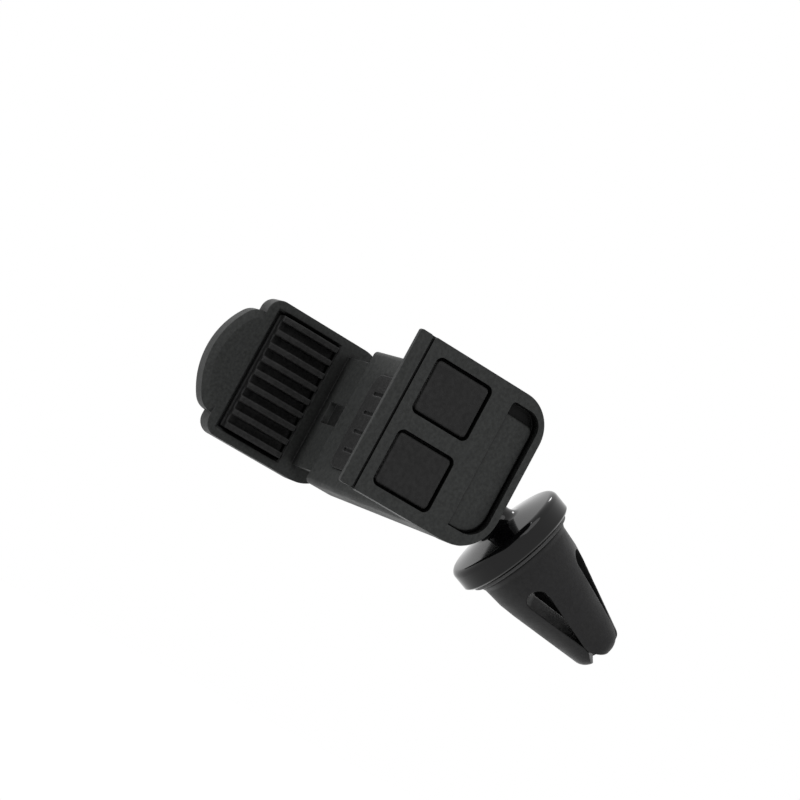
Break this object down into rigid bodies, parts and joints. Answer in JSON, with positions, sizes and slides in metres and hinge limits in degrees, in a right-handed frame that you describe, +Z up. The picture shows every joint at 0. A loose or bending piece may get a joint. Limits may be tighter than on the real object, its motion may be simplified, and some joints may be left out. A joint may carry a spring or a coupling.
{
  "type": "phone holder for a car air vent",
  "caption": "Car air vent phone holder: sprung sliding jaw with finger tab, fixed jaw with square rubber grips, ball joint and a rubber clip with crossed slots.",
  "frame": {"origin": "the point of the rest pad's face that lies on the cradle's spin axis, which runs through the ball's centre", "axes": "+X towards the fixed jaw, -Y out of the rest face towards the phone and its user, +Z up"},
  "size_m": [0.0772, 0.0823, 0.0375],
  "materials": {
    "shell_plastic": "black moulded plastic with a fine satin grain",
    "grip_rubber": "black rubber with a fine matt grain",
    "boot_rubber": "soft dark grey rubber with a dull sheen",
    "gloss_black": "polished black plastic",
    "core_plastic": "plain black plastic",
    "cup_plastic": "smooth natural plastic",
    "bright_steel": "bright zinc-plated steel",
    "dark_steel": "black oxide steel"
  },
  "bodies": {
    "clip": {"prong_core": "core_plastic", "rubber_boot": "boot_rubber"},
    "stem": {"ball_stem": "gloss_black", "core_screw": "bright_steel", "core_washer": "bright_steel"},
    "socket": {"ball_cup": "cup_plastic", "friction_washer": "bright_steel"},
    "cradle": {"cradle_shell": "shell_plastic", "rear_cover": "shell_plastic", "rest_pad": "grip_rubber", "fixed_grip_pad": "grip_rubber", "socket_plate": "shell_plastic", "cover_screws": "dark_steel", "socket_screws": "dark_steel", "anchor_pins": "bright_steel", "upper_spring": "bright_steel", "lower_spring": "bright_steel"},
    "jaw": {"sliding_jaw": "shell_plastic", "jaw_grip_pad": "grip_rubber", "jaw_pins": "bright_steel"}
  },
  "joints": [
    {"name": "stem_turn", "type": "hinge", "parent": "clip", "child": "stem", "pos_m": [0, 0.01076, 0], "axis": [0.2507, 0.898, -0.3616], "continuous": true},
    {"name": "ball_tilt", "type": "hinge", "parent": "stem", "child": "socket", "pos_m": [0, 0.01076, 0], "axis": [-0.8218, 0, -0.5698], "range_deg": [-3.9, 56]},
    {"name": "cradle_spin", "type": "hinge", "parent": "socket", "child": "cradle", "pos_m": [0, 0.01076, 0], "axis": [0, 1, 0], "continuous": true},
    {"name": "jaw_slide", "type": "slide", "parent": "cradle", "child": "jaw", "axis": [-1, 0, 0], "range_m": [-0.0125, 0.016], "stiffness_N_per_m": 260, "springref_m": -0.0225, "deforming": ["upper_spring", "lower_spring"]}
  ]
}
